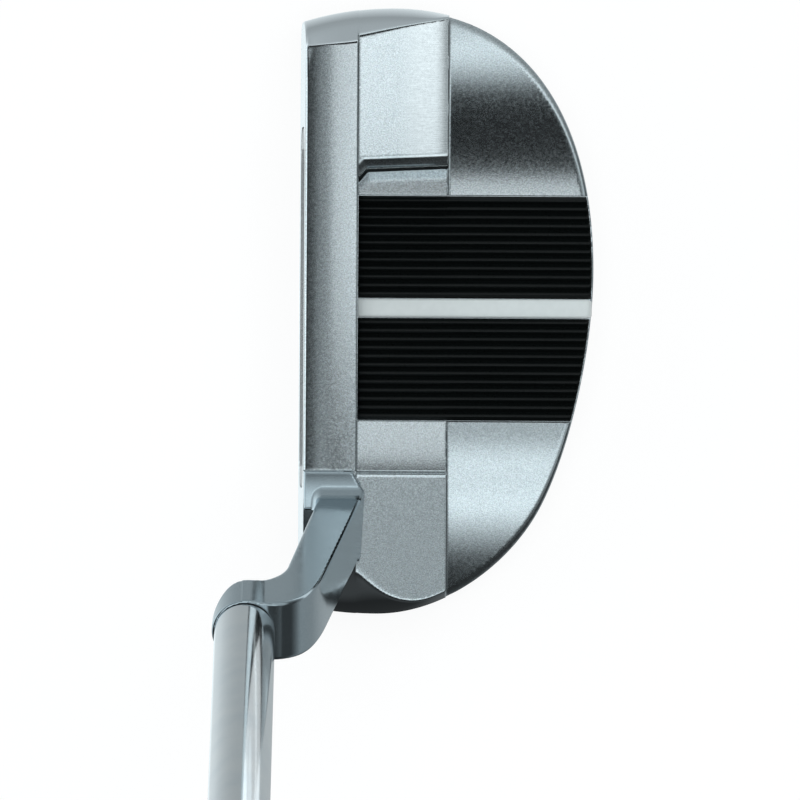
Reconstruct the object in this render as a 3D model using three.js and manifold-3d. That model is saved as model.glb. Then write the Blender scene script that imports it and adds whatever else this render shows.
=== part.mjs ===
// Mallet putter: a right-handed mid-mallet head on a plumber's neck, with a stepped steel
// shaft and a pistol grip, standing soled at address.
//
// Millimetres, +Z up. The face looks along -X, the toe points along +Y and the rear along +X.
// The origin is on the flat of the sole, under the sight line.

import * as THREE from 'three';
import { mergeVertices } from 'three/addons/utils/BufferGeometryUtils.js';
import Module from 'manifold-3d';

const wasm = await Module();
wasm.setup();

// ---------------------------------------------------------------- driving dimensions

// The club
const CLUB_LENGTH = 863.6; // 34 in, from the ground to the butt, along the shaft
const LEAN = THREE.MathUtils.degToRad(20); // shaft from vertical: a lie angle of 70 degrees
const LOFT = THREE.MathUtils.degToRad(2.5);

// The head's plan
const FACE_X = -25.4; // leading edge
const BAND_BACK_X = -15.3; // rear edge of the topline
const BLOCK_BACK_X = 0.3; // rear wall of the pads
const REAR_X = 25.6;
const TOE_Y = 51.9;
const HEEL_Y = -52.97;

// The head's heights
const TOPLINE_Z = 25.4; // 1 in
const PAD_Z = 24.4;
const CHANNEL_Z = 14.2;
const FLANGE_Z = 13.0; // at its crown
const SEAT_Z = 12.0; // floor of the recess under the inlays
const SOLE_FLAT_Y = 21; // half the length of the sole's flat
const SOLE_FLAT_BACK_X = 3;
const SOLE_REAR_Z = 5.6; // how far the sole has risen at the rear

// Channels between the pads and the inlays
const HEEL_PAD_EDGE_Y = -28.8;
const HEEL_CHANNEL_WALL_Y = -25.4;
const TOE_CHANNEL_WALL_Y = 23.2;
const TOE_PAD_EDGE_Y = 25.9;

// The inlays
const INLAY_HALF_WIDTH = 19.5;
const SIGHT_BAR_WIDTH = 3.2;
const SIGHT_BAR_TOP_Z = 15.3;
const INLAY_GAP = 0.12;
const TAPE_THICKNESS = 0.4;
const RIB_COUNT = 12;
const RIB_TOP_Z = 14.7;
const RIB_DEPTH = 0.6;

// The face insert
const INSERT_LENGTH = 62;
const INSERT_HEIGHT = 16;
const INSERT_THICKNESS = 4;
const INSERT_MID_Z = 12.7;
const GROOVE_COUNT = 10;
const GROOVE_DEPTH = 0.3;
const GROOVE_HALF_WIDTH = 0.3;
const GROOVE_MARGIN = 3; // face left plain above and below the grooves, together
const SKIM = 0.05; // air between glued pieces

// The neck, in the shaft's frame: x as above, n towards the front of the lean, s up the shaft
const NECK_N = -26.6; // the plane of the shaft's axis
const NECK_WIDTH = 10.4;
const AXIS_X = -33.8;
const BOSS_R = 5.55;
const ARM_TOP_S = 88.2;
const ARM_BOTTOM_S = 78.1;
const SADDLE_R = 5.7;
const SADDLE_START_Y = -28.2;
const FOOT_END_Y = -43.4;
const FOOT_THICKNESS = 2;
const FOOT_BACK_X = -14.9;
const TENON_R = 3.2;
const TENON_BOTTOM_Z = 12;
const TENON_X = -19.6;
const TENON_Y = -36.4;

// The shaft
const SPIGOT_R = 4.1;
const SPIGOT_LENGTH = 28;
const SHAFT_TIP_R = 5.15;
const SHAFT_BUTT_R = 7.55;
const SHAFT_WALL = 0.55;
const SHAFT_STEP_COUNT = 13;
const SHAFT_STEP_PITCH = 34;
const SHAFT_PARALLEL_TIP = 190;
const JOINT_GAP = 0.3;

// The grip
const GRIP_LENGTH = 267; // 10.5 in
const GRIP_TAPE = 0.3;
const GRIP_FLAT = 10; // from the shaft's axis to the front flat, at the mouth
const WRAP_THICKNESS = 1.3;
const SKIN_GAP = 0.3; // between the wrap and the underlisting
const MOUTH_RING_LENGTH = 6;
const CAP_THICKNESS = 4;
const CAP_PLUG_R = 5.6;
const CAP_PLUG_LENGTH = 9;
const VENT_R = 1.5;

const ROUND_SEGMENTS = 28;
const OUTLINE_SEGMENTS = 9;

// Limits for cutting solids: clear of the head on every side
const PAST_SIDE = 60;
const PAST_REAR = 40;
const ABOVE_HEAD = 40;
const BELOW_HEAD = -20;

// ---------------------------------------------------------------- solids

/** A closed geometry as a manifold solid. */
function solid(geometry) {
  const bare = new THREE.BufferGeometry();
  bare.setAttribute('position', geometry.getAttribute('position'));
  if (geometry.index) bare.setIndex(geometry.index);
  const merged = mergeVertices(bare, 1e-4);
  const corners = merged.index.array;
  const triangles = [];
  for (let i = 0; i < corners.length; i += 3) {
    const [a, b, c] = [corners[i], corners[i + 1], corners[i + 2]];
    if (a !== b && b !== c && c !== a) triangles.push(a, b, c);
  }
  return new wasm.Manifold(
    new wasm.Mesh({
      numProp: 3,
      vertProperties: new Float32Array(merged.getAttribute('position').array),
      triVerts: new Uint32Array(triangles),
    }),
  );
}

/** A manifold solid as a geometry. */
function geometryOf(piece) {
  const mesh = piece.getMesh();
  const geometry = new THREE.BufferGeometry();
  geometry.setAttribute('position', new THREE.BufferAttribute(mesh.vertProperties, 3));
  geometry.setIndex(new THREE.BufferAttribute(mesh.triVerts, 1));
  geometry.computeVertexNormals();
  return geometry;
}

/** A box given by its lowest and highest corner. */
function box(low, high) {
  const geometry = new THREE.BoxGeometry(high[0] - low[0], high[1] - low[1], high[2] - low[2]);
  geometry.translate((low[0] + high[0]) / 2, (low[1] + high[1]) / 2, (low[2] + high[2]) / 2);
  return solid(geometry);
}

function polygon(points) {
  return new THREE.Shape(points.map(([x, y]) => new THREE.Vector2(x, y)));
}

const PLAIN = { bevelEnabled: false, curveSegments: 10 };

/** A plan (x, y) extruded upwards. */
function extrudeUp(shape, bottom, top, options = PLAIN) {
  const geometry = new THREE.ExtrudeGeometry(shape, { ...options, depth: top - bottom });
  geometry.translate(0, 0, bottom);
  return solid(geometry);
}

/** A section drawn in (y, z), extruded along X. */
function extrudeAlongX(shape, from, to, options = PLAIN) {
  const geometry = new THREE.ExtrudeGeometry(shape, { ...options, depth: to - from });
  const turn = new THREE.Matrix4().makeBasis(
    new THREE.Vector3(0, 1, 0),
    new THREE.Vector3(0, 0, 1),
    new THREE.Vector3(1, 0, 0),
  );
  geometry.applyMatrix4(turn);
  geometry.translate(from, 0, 0);
  return solid(geometry);
}

/** A section drawn in (x, z), extruded along Y. */
function extrudeAlongY(shape, from, to, options = PLAIN) {
  const geometry = new THREE.ExtrudeGeometry(shape, { ...options, depth: to - from });
  geometry.rotateX(Math.PI / 2);
  geometry.translate(0, to, 0);
  return solid(geometry);
}

/** A round solid: radius and height pairs, turned about the Z axis. */
function lathe(profile, segments = ROUND_SEGMENTS) {
  const points = profile.map(([radius, height]) => new THREE.Vector2(radius, height));
  const geometry = new THREE.LatheGeometry(points, segments);
  geometry.rotateX(Math.PI / 2);
  return geometry;
}

/** A round tube between two heights. */
function tube(inner, outer, bottom, top) {
  return lathe([
    [inner, bottom],
    [outer, bottom],
    [outer, top],
    [inner, top],
    [inner, bottom],
  ]);
}

/** A round bar between two heights. */
function bar(radius, bottom, top) {
  return lathe([
    [0, bottom],
    [radius, bottom],
    [radius, top],
    [0, top],
  ]);
}

// ---------------------------------------------------------------- the head's outline

/**
 * The D-shaped plan. It runs on well past the face, so that what is cut from it can be trimmed
 * square on the face plane afterwards.
 */
function headPlan() {
  const front = FACE_X - 35;
  const shape = new THREE.Shape();
  shape.moveTo(front, 42);
  shape.lineTo(-24.5, 49.6);
  shape.quadraticCurveTo(-17, TOE_Y, -9.1, TOE_Y);
  shape.bezierCurveTo(12.9, TOE_Y, REAR_X, 34.2, REAR_X, 6.45);
  shape.bezierCurveTo(REAR_X, -8.1, 21.2, -26.0, 16.35, -34.93);
  shape.bezierCurveTo(11.2, -44.5, -0.1, HEEL_Y, -11.7, HEEL_Y);
  shape.quadraticCurveTo(-18.5, HEEL_Y, -24.5, -51.6);
  shape.lineTo(front, -43);
  shape.lineTo(front, 42);
  return shape;
}

/** The plan raised to `top`, with an elliptical roll down its upper edge. */
function rolledBlank(bottom, top, rollWidth, rollHeight, steps) {
  return extrudeUp(headPlan(), bottom, top - rollHeight, {
    curveSegments: OUTLINE_SEGMENTS,
    bevelEnabled: true,
    bevelThickness: rollHeight,
    bevelSize: rollWidth,
    bevelOffset: -rollWidth,
    bevelSegments: steps,
  });
}

/** Everything behind the lofted face plane. */
function behindFace(setBack = 0) {
  const faceAt = (z) => FACE_X + setBack + z * Math.tan(LOFT);
  const section = polygon([
    [faceAt(BELOW_HEAD), BELOW_HEAD],
    [PAST_REAR, BELOW_HEAD],
    [PAST_REAR, ABOVE_HEAD],
    [faceAt(ABOVE_HEAD), ABOVE_HEAD],
  ]);
  return extrudeAlongY(section, -PAST_SIDE, PAST_SIDE);
}

// ---------------------------------------------------------------- the head

/** The sole: flat in the middle, cambered to heel and toe, rising to the rear. */
function soleBlank() {
  const camberRise = 4.2;
  const camberKnee = 38;
  const camber = new THREE.Shape();
  camber.moveTo(-PAST_SIDE, camberRise);
  camber.quadraticCurveTo(-camberKnee, 0, -SOLE_FLAT_Y, 0);
  camber.lineTo(SOLE_FLAT_Y, 0);
  camber.quadraticCurveTo(camberKnee, 0, PAST_SIDE, camberRise);
  camber.lineTo(PAST_SIDE, ABOVE_HEAD);
  camber.lineTo(-PAST_SIDE, ABOVE_HEAD);
  camber.lineTo(-PAST_SIDE, camberRise);

  const keelKneeX = 14;
  const keelEndX = 27;
  const keel = new THREE.Shape();
  keel.moveTo(-PAST_SIDE, 0);
  keel.lineTo(SOLE_FLAT_BACK_X, 0);
  keel.quadraticCurveTo(keelKneeX, 0, keelEndX, SOLE_REAR_Z);
  keel.lineTo(keelEndX, ABOVE_HEAD);
  keel.lineTo(-PAST_SIDE, ABOVE_HEAD);
  keel.lineTo(-PAST_SIDE, 0);

  const rollHeight = 4.5;
  const rollWidth = 3;
  const roll = extrudeUp(headPlan(), rollHeight, ABOVE_HEAD, {
    curveSegments: OUTLINE_SEGMENTS,
    bevelEnabled: true,
    bevelThickness: rollHeight,
    bevelSize: rollWidth,
    bevelOffset: -rollWidth,
    bevelSegments: 3,
  });
  return roll
    .intersect(extrudeAlongX(camber, -PAST_SIDE, PAST_SIDE))
    .intersect(extrudeAlongY(keel, -PAST_SIDE, PAST_SIDE));
}

/** The flange's domed top: level across the inlays, falling away to toe and heel. */
function flangeDome() {
  const crown = 14;
  const edge = 55;
  const fall = 9;
  const section = new THREE.Shape();
  section.moveTo(-edge, -5);
  section.lineTo(-edge, FLANGE_Z - fall);
  section.quadraticCurveTo(-34, FLANGE_Z, -crown, FLANGE_Z);
  section.lineTo(crown, FLANGE_Z);
  section.quadraticCurveTo(34, FLANGE_Z, edge, FLANGE_Z - fall);
  section.lineTo(edge, -5);
  section.lineTo(-edge, -5);
  return extrudeAlongX(section, BLOCK_BACK_X - 8, PAST_REAR);
}

/** The valley between the pads: two sloped walls and a flat floor. */
function valley() {
  const section = polygon([
    [HEEL_PAD_EDGE_Y, ABOVE_HEAD],
    [HEEL_PAD_EDGE_Y, PAD_Z],
    [HEEL_CHANNEL_WALL_Y - 1.5, CHANNEL_Z + 1.8],
    [HEEL_CHANNEL_WALL_Y, CHANNEL_Z],
    [TOE_CHANNEL_WALL_Y, CHANNEL_Z],
    [TOE_PAD_EDGE_Y, PAD_Z],
    [TOE_PAD_EDGE_Y, ABOVE_HEAD],
  ]);
  return extrudeAlongX(section, BAND_BACK_X, PAST_REAR);
}

/** The neck's seat: a shallow step in the topline and a round socket under it. */
function neckSeat() {
  const gap = 0.15;
  const bondGap = 0.6;
  const step = box(
    [FACE_X - 5, FOOT_END_Y - gap, TOPLINE_Z - FOOT_THICKNESS - gap],
    [FOOT_BACK_X + gap, SADDLE_START_Y + gap, ABOVE_HEAD],
  );
  const socket = bar(TENON_R + bondGap, TENON_BOTTOM_Z - bondGap, TOPLINE_Z);
  socket.translate(TENON_X, TENON_Y, 0);
  return step.add(solid(socket));
}

/** The face insert's outline, drawn in the face plane. */
function insertShape(grow) {
  const halfLength = INSERT_LENGTH / 2 + grow;
  const halfHeight = INSERT_HEIGHT / 2 + grow;
  const corner = 5 + grow;
  const shape = new THREE.Shape();
  shape.moveTo(-halfLength + corner, -halfHeight);
  shape.lineTo(halfLength - corner, -halfHeight);
  shape.absarc(halfLength - corner, -halfHeight + corner, corner, -Math.PI / 2, 0, false);
  shape.lineTo(halfLength, halfHeight - corner);
  shape.absarc(halfLength - corner, halfHeight - corner, corner, 0, Math.PI / 2, false);
  shape.lineTo(-halfLength + corner, halfHeight);
  shape.absarc(-halfLength + corner, halfHeight - corner, corner, Math.PI / 2, Math.PI, false);
  shape.lineTo(-halfLength, -halfHeight + corner);
  shape.absarc(-halfLength + corner, -halfHeight + corner, corner, Math.PI, 1.5 * Math.PI, false);
  return shape;
}

/** A slab parallel to the face, between two depths behind it. */
function faceSlab(grow, from, to) {
  const geometry = new THREE.ExtrudeGeometry(insertShape(grow), {
    depth: to - from,
    bevelEnabled: false,
    curveSegments: 5,
  });
  geometry.translate(0, 0, from);
  // Drawn in (y, z) and extruded along X, then leant back by the loft.
  geometry.applyMatrix4(
    new THREE.Matrix4().makeBasis(
      new THREE.Vector3(0, 1, 0),
      new THREE.Vector3(0, 0, 1),
      new THREE.Vector3(1, 0, 0),
    ),
  );
  geometry.rotateY(LOFT);
  geometry.translate(FACE_X + INSERT_MID_Z * Math.tan(LOFT), 0, INSERT_MID_Z);
  return solid(geometry);
}

function headBody() {
  const inFrontOf = (x) =>
    box([-PAST_SIDE - 5, -PAST_SIDE, BELOW_HEAD], [x, PAST_SIDE, ABOVE_HEAD]);
  const topline = rolledBlank(BELOW_HEAD, TOPLINE_Z, 6, 14, 4).intersect(inFrontOf(BAND_BACK_X));
  const pads = rolledBlank(BELOW_HEAD, PAD_Z, 3.4, 13, 4).intersect(inFrontOf(BLOCK_BACK_X));
  const flange = rolledBlank(BELOW_HEAD, FLANGE_Z + 4, 0.8, 1, 1).intersect(flangeDome());
  const inlayRecess = box(
    [BAND_BACK_X, -INLAY_HALF_WIDTH, SEAT_Z],
    [PAST_REAR, INLAY_HALF_WIDTH, ABOVE_HEAD],
  );
  return topline
    .add(pads.subtract(valley()))
    .add(flange)
    .intersect(soleBlank())
    .intersect(behindFace())
    .subtract(inlayRecess)
    .subtract(neckSeat())
    .subtract(faceSlab(0.15, -5, INSERT_THICKNESS + TAPE_THICKNESS + 0.2));
}

/** The insert, its front face scored with level grooves. */
function faceInsert() {
  let insert = faceSlab(0, SKIM, INSERT_THICKNESS);
  const spread = INSERT_HEIGHT - GROOVE_MARGIN;
  const pitch = spread / (GROOVE_COUNT - 1);
  for (let i = 0; i < GROOVE_COUNT; i += 1) {
    const z = INSERT_MID_Z - spread / 2 + i * pitch;
    const face = FACE_X + z * Math.tan(LOFT);
    const inset = i === 0 || i === GROOVE_COUNT - 1 ? 6 : 4;
    const reach = INSERT_LENGTH / 2 - inset;
    const groove = box(
      [face - 3, -reach, z - GROOVE_HALF_WIDTH],
      [face + GROOVE_DEPTH + SKIM, reach, z + GROOVE_HALF_WIDTH],
    );
    insert = insert.subtract(groove);
  }
  return insert;
}

function faceInsertTape() {
  return faceSlab(-0.6, INSERT_THICKNESS + SKIM, INSERT_THICKNESS + TAPE_THICKNESS - SKIM);
}

// ---------------------------------------------------------------- the inlays

/** The part of a solid that lies inside the head's outline, `inset` from its edge. */
function insideOutline(piece, inset) {
  const plan = extrudeUp(headPlan(), 0, ABOVE_HEAD, {
    curveSegments: OUTLINE_SEGMENTS,
    bevelEnabled: true,
    bevelThickness: 1,
    bevelSize: 0.01,
    bevelOffset: -inset,
    bevelSegments: 1,
  });
  return piece.intersect(plan);
}

/** One ribbed panel; `side` is 1 on the toe side of the sight bar and -1 on the heel side. */
function ribPanel(side) {
  const inner = SIGHT_BAR_WIDTH / 2 + INLAY_GAP;
  const outer = INLAY_HALF_WIDTH - INLAY_GAP;
  const pitch = (outer - inner) / RIB_COUNT;
  const bottom = SEAT_Z + TAPE_THICKNESS;
  const root = RIB_TOP_Z - RIB_DEPTH;
  const points = [
    [inner, bottom],
    [outer, bottom],
  ];
  for (let i = RIB_COUNT - 1; i >= 0; i -= 1) {
    const start = inner + i * pitch;
    // One rib fills most of its pitch; its flanks slope.
    points.push([start + 0.95 * pitch, root]);
    points.push([start + 0.8 * pitch, RIB_TOP_Z]);
    points.push([start + 0.25 * pitch, RIB_TOP_Z]);
    points.push([start + 0.1 * pitch, root]);
  }
  points.push([inner, root]);
  const section = polygon(points.map(([y, z]) => [side * y, z]));
  return insideOutline(extrudeAlongX(section, BAND_BACK_X + INLAY_GAP, PAST_REAR), 0.3);
}

/** The sight bar: a low crowned strip with a rounded rear end. */
function sightBar() {
  const half = SIGHT_BAR_WIDTH / 2;
  const bottom = SEAT_Z + TAPE_THICKNESS;
  const front = BAND_BACK_X + INLAY_GAP;
  const rear = REAR_X - 0.35;
  const side = new THREE.Shape();
  side.moveTo(front, bottom);
  side.lineTo(rear, bottom);
  side.lineTo(rear, SIGHT_BAR_TOP_Z - 1.6);
  side.quadraticCurveTo(rear, SIGHT_BAR_TOP_Z, rear - 2, SIGHT_BAR_TOP_Z);
  side.lineTo(front, SIGHT_BAR_TOP_Z);
  side.lineTo(front, bottom);
  const bevel = 0.4;
  const crown = polygon([
    [-half, bottom - 1],
    [half, bottom - 1],
    [half, SIGHT_BAR_TOP_Z - bevel],
    [half - bevel, SIGHT_BAR_TOP_Z],
    [-half + bevel, SIGHT_BAR_TOP_Z],
    [-half, SIGHT_BAR_TOP_Z - bevel],
  ]);
  return extrudeAlongY(side, -half, half).intersect(
    extrudeAlongX(crown, -PAST_REAR, PAST_REAR),
  );
}

/** The bonding tape under one inlay, between two Y values. */
function inlayTape(low, high) {
  const margin = 0.5;
  const tape = box(
    [BAND_BACK_X + margin, low + margin, SEAT_Z + SKIM],
    [PAST_REAR, high - margin, SEAT_Z + TAPE_THICKNESS - SKIM],
  );
  return insideOutline(tape, 1.2);
}

// ---------------------------------------------------------------- the neck

/** From the shaft's frame (x, n, s) to the club's. */
const shaftFrame = new THREE.Matrix4().makeRotationX(LEAN);

/** The post, arm and boss seen from the front of the lean, drawn in (x, s). */
function neckProfile() {
  const foot = { rear: [-13.9, 34.5], front: [-21.4, 34.5] };
  const shoulder = [-20.1, 72.5]; // where the post's rear side starts to bend into the arm
  const armpit = [-26.5, 69];
  const shape = new THREE.Shape();
  shape.moveTo(...foot.rear);
  shape.lineTo(...shoulder);
  shape.bezierCurveTo(-21.8, 82.5, -23.5, ARM_TOP_S - 0.6, -29.5, ARM_TOP_S);
  shape.lineTo(AXIS_X - BOSS_R, ARM_TOP_S);
  shape.bezierCurveTo(AXIS_X - 4.9, 82, AXIS_X - 3, ARM_BOTTOM_S, AXIS_X, ARM_BOTTOM_S);
  shape.quadraticCurveTo(-27.4, ARM_BOTTOM_S - 0.9, ...armpit);
  shape.lineTo(...foot.front);
  shape.lineTo(...foot.rear);
  return shape;
}

/** The neck's plan along the shaft: a straight bar with a round end on the shaft's axis. */
function neckPlan() {
  const half = NECK_WIDTH / 2;
  const swell = Math.asin(half / BOSS_R);
  const shape = new THREE.Shape();
  shape.moveTo(0, NECK_N + half);
  shape.lineTo(AXIS_X + BOSS_R * Math.cos(swell), NECK_N + half);
  shape.absarc(AXIS_X, NECK_N, BOSS_R, swell, 2 * Math.PI - swell, false);
  shape.lineTo(0, NECK_N - half);
  shape.lineTo(0, NECK_N + half);
  return shape;
}

/** The foot: a flat step in the topline that sweeps up into the post's front face. */
function neckFoot() {
  const centre = [SADDLE_START_Y, TOPLINE_Z + SADDLE_R];
  const section = new THREE.Shape();
  section.moveTo(FOOT_END_Y, TOPLINE_Z - FOOT_THICKNESS);
  section.lineTo(SADDLE_START_Y, TOPLINE_Z - FOOT_THICKNESS);
  section.lineTo(SADDLE_START_Y, TOPLINE_Z);
  section.absarc(centre[0], centre[1], SADDLE_R, 1.5 * Math.PI, Math.PI + LEAN, true);
  section.lineTo(-36.5, centre[1] - SADDLE_R * Math.sin(LEAN));
  section.lineTo(FOOT_END_Y, TOPLINE_Z);
  section.lineTo(FOOT_END_Y, TOPLINE_Z - FOOT_THICKNESS);
  return extrudeAlongX(section, FACE_X - 3, FOOT_BACK_X).intersect(behindFace(0.05));
}

function neck() {
  const blank = NECK_WIDTH + 4;
  const upright = new THREE.ExtrudeGeometry(neckProfile(), { ...PLAIN, depth: blank });
  upright.rotateX(Math.PI / 2);
  upright.translate(0, NECK_N + blank / 2, 0);
  upright.applyMatrix4(shaftFrame);
  const plan = new THREE.ExtrudeGeometry(neckPlan(), { ...PLAIN, depth: ARM_TOP_S });
  plan.translate(0, 0, 10);
  plan.applyMatrix4(shaftFrame);
  const spigot = bar(SPIGOT_R, ARM_TOP_S - 4, ARM_TOP_S + SPIGOT_LENGTH);
  spigot.translate(AXIS_X, NECK_N, 0);
  spigot.applyMatrix4(shaftFrame);
  const tenon = bar(TENON_R, TENON_BOTTOM_Z, TOPLINE_Z - 1);
  tenon.translate(TENON_X, TENON_Y, 0);
  const aboveTopline = box([-PAST_SIDE, -2 * PAST_SIDE, TOPLINE_Z - 0.5], [0, 0, 2 * ARM_TOP_S]);
  return solid(upright)
    .intersect(solid(plan))
    .intersect(aboveTopline)
    .add(neckFoot())
    .add(solid(spigot))
    .add(solid(tenon));
}

/** The bond layer round the tenon. */
function neckBond() {
  const sleeve = tube(
    TENON_R + 0.15,
    TENON_R + 0.45,
    TENON_BOTTOM_Z,
    TOPLINE_Z - FOOT_THICKNESS - 0.3,
  );
  sleeve.translate(TENON_X, TENON_Y, 0);
  return sleeve;
}

// ---------------------------------------------------------------- the shaft

const groundS = -NECK_N * Math.tan(LEAN); // where the shaft's axis meets the ground
const buttS = groundS + CLUB_LENGTH;
const shaftBottomS = ARM_TOP_S + JOINT_GAP + 0.3;
const shaftTopS = buttS - CAP_THICKNESS - JOINT_GAP;

/** A tube that steps up from the tip to the butt. */
function shaft() {
  const rise = (SHAFT_BUTT_R - SHAFT_TIP_R) / SHAFT_STEP_COUNT;
  const outside = [[SHAFT_TIP_R, shaftBottomS]];
  for (let i = 0; i < SHAFT_STEP_COUNT; i += 1) {
    const s = shaftBottomS + SHAFT_PARALLEL_TIP + i * SHAFT_STEP_PITCH;
    const radius = SHAFT_TIP_R + i * rise;
    outside.push([radius, s], [radius + rise, s + 1.2]);
  }
  outside.push([SHAFT_BUTT_R, shaftTopS]);
  const lastStepS = outside[outside.length - 2][1];
  const inside = [
    [SHAFT_BUTT_R - SHAFT_WALL, shaftTopS],
    [SHAFT_BUTT_R - SHAFT_WALL, lastStepS],
    [SHAFT_TIP_R - SHAFT_WALL, shaftBottomS + SHAFT_PARALLEL_TIP],
    [SHAFT_TIP_R - SHAFT_WALL, shaftBottomS],
  ];
  return lathe([...outside, ...inside, outside[0]]);
}

/** The adhesive round the spigot, with the bead that shows between boss and shaft. */
function shaftEpoxy() {
  const inner = SPIGOT_R + 0.08;
  const outer = SHAFT_TIP_R - SHAFT_WALL - 0.08;
  return lathe([
    [inner, ARM_TOP_S + 0.15],
    [SHAFT_TIP_R - 0.25, ARM_TOP_S + 0.15],
    [SHAFT_TIP_R - 0.25, shaftBottomS - 0.1],
    [outer, shaftBottomS - 0.1],
    [outer, ARM_TOP_S + SPIGOT_LENGTH - 1],
    [inner, ARM_TOP_S + SPIGOT_LENGTH - 1],
    [inner, ARM_TOP_S + 0.15],
  ]);
}

// ---------------------------------------------------------------- the grip

const gripBottomS = buttS - GRIP_LENGTH;
const gripTopS = buttS - CAP_THICKNESS;

/** Half the grip's width, from its mouth (0) to its butt (1). */
const gripWidth = new THREE.SplineCurve([
  new THREE.Vector2(0, 10),
  new THREE.Vector2(0.25, 11.2),
  new THREE.Vector2(0.6, 12.5),
  new THREE.Vector2(0.85, 13.4),
  new THREE.Vector2(1, 13.0),
]);

function halfWidthAt(along) {
  return gripWidth.getPoint(along).y;
}

/** How far the back is drawn out beyond round: the pistol shape. */
function backStretch(along) {
  return 1 + 0.32 * THREE.MathUtils.smoothstep(along, 0.35, 0.95);
}

/** Turns a round geometry's outer surfaces into the grip's section: flat in front, full behind. */
function pistol(geometry, roundUpTo) {
  const position = geometry.getAttribute('position');
  for (let i = 0; i < position.count; i += 1) {
    const x = position.getX(i);
    const n = position.getY(i);
    const radius = Math.hypot(x, n);
    if (radius <= roundUpTo) continue;
    const along = THREE.MathUtils.clamp((position.getZ(i) - gripBottomS) / GRIP_LENGTH, 0, 1);
    const inset = halfWidthAt(along) - radius;
    const flat = GRIP_FLAT + 0.6 * along - inset;
    position.setY(i, n < 0 ? n * backStretch(along) : Math.min(n, flat));
  }
  return geometry;
}

/** Points down one surface of the grip, `inset` under its skin. */
function gripSide(from, to, inset, steps) {
  const points = [];
  for (let i = 0; i <= steps; i += 1) {
    const s = THREE.MathUtils.lerp(from, to, i / steps);
    const along = (s - gripBottomS) / GRIP_LENGTH;
    points.push([halfWidthAt(along) - inset, s]);
  }
  return points;
}

const boreR = SHAFT_BUTT_R + GRIP_TAPE + 0.25;

function gripTape() {
  const inner = SHAFT_BUTT_R + 0.1;
  return tube(inner, inner + GRIP_TAPE, gripBottomS + 4, gripTopS - 6);
}

function gripUnderlisting() {
  const from = gripBottomS + 1.5;
  const to = gripTopS - 0.3;
  const outside = gripSide(from, to, WRAP_THICKNESS + SKIN_GAP, 9);
  const profile = [[boreR, from], ...outside, [boreR, to], [boreR, from]];
  return pistol(lathe(profile), boreR + 0.01);
}

function gripWrap() {
  const from = gripBottomS + MOUTH_RING_LENGTH + 0.2;
  const to = gripTopS - 0.2;
  const outside = gripSide(from, to, 0, 9);
  const inside = gripSide(to, from, WRAP_THICKNESS, 9);
  return pistol(lathe([...outside, ...inside, outside[0]]), boreR + 0.01);
}

/** The moulded ring that covers the wrap's lower edge. */
function gripMouthRing() {
  const from = gripBottomS;
  const to = gripBottomS + MOUTH_RING_LENGTH;
  const outer = halfWidthAt(0);
  return lathe([
    [boreR, from],
    [outer - 0.6, from],
    [outer, from + 0.8],
    [outer + 0.1, to],
    [outer - WRAP_THICKNESS, to],
    [outer - WRAP_THICKNESS, from + 1.3],
    [boreR, from + 1.3],
    [boreR, from],
  ]);
}

/** The butt cap: a crowned disc with a plug down the shaft and a vent through both. */
function gripButtCap() {
  const outer = halfWidthAt(1);
  const cap = lathe([
    [VENT_R, gripTopS - CAP_PLUG_LENGTH],
    [CAP_PLUG_R, gripTopS - CAP_PLUG_LENGTH],
    [CAP_PLUG_R, gripTopS],
    [outer, gripTopS],
    [outer, buttS - 1.6],
    [outer - 1.6, buttS],
    [VENT_R, buttS],
    [VENT_R, gripTopS - CAP_PLUG_LENGTH],
  ]);
  return pistol(cap, CAP_PLUG_R + 0.01);
}

// ---------------------------------------------------------------- materials

const steelBlasted = { color: 0xb4b6b8, roughness: 0.42, metalness: 1 };
const steelSatin = { color: 0xa3adb2, roughness: 0.3, metalness: 1 };
const chromePlate = { color: 0xd6dadd, roughness: 0.08, metalness: 1 };
const ribPlastic = { color: 0x0b0d0c, roughness: 0.55, metalness: 0 };
const whitePaint = { color: 0xe2e4e2, roughness: 0.35, metalness: 0 };
const insertPolymer = { color: 0x26282a, roughness: 0.5, metalness: 0 };
const tapeFoam = { color: 0x8d9092, roughness: 0.9, metalness: 0 };
const epoxyResin = { color: 0x1a1b1c, roughness: 0.4, metalness: 0 };
const gripSkin = { color: 0x151617, roughness: 0.7, metalness: 0 };
const gripCore = { color: 0x2b2c2e, roughness: 0.9, metalness: 0 };
const capRubber = { color: 0x1b1c1d, roughness: 0.6, metalness: 0 };
const paperTape = { color: 0xcfc7b4, roughness: 0.95, metalness: 0 };

function named(name, shape, look) {
  const geometry = shape.isBufferGeometry ? shape : geometryOf(shape);
  const mesh = new THREE.Mesh(geometry, new THREE.MeshStandardMaterial(look));
  mesh.name = name;
  return mesh;
}

// ---------------------------------------------------------------- assembly

const putter = new THREE.Group();

const head = new THREE.Group();
head.add(
  named('head_body', headBody(), steelBlasted),
  named('face_insert', faceInsert(), insertPolymer),
  named('face_insert_tape', faceInsertTape(), tapeFoam),
  named('toe_rib_panel', ribPanel(1), ribPlastic),
  named('heel_rib_panel', ribPanel(-1), ribPlastic),
  named('sight_bar', sightBar(), whitePaint),
  named('toe_panel_tape', inlayTape(SIGHT_BAR_WIDTH / 2, INLAY_HALF_WIDTH), tapeFoam),
  named('heel_panel_tape', inlayTape(-INLAY_HALF_WIDTH, -SIGHT_BAR_WIDTH / 2), tapeFoam),
  named('sight_bar_tape', inlayTape(-SIGHT_BAR_WIDTH / 2, SIGHT_BAR_WIDTH / 2), tapeFoam),
  named('neck', neck(), steelSatin),
  named('neck_bond', neckBond(), epoxyResin),
);
putter.add(head);

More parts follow.
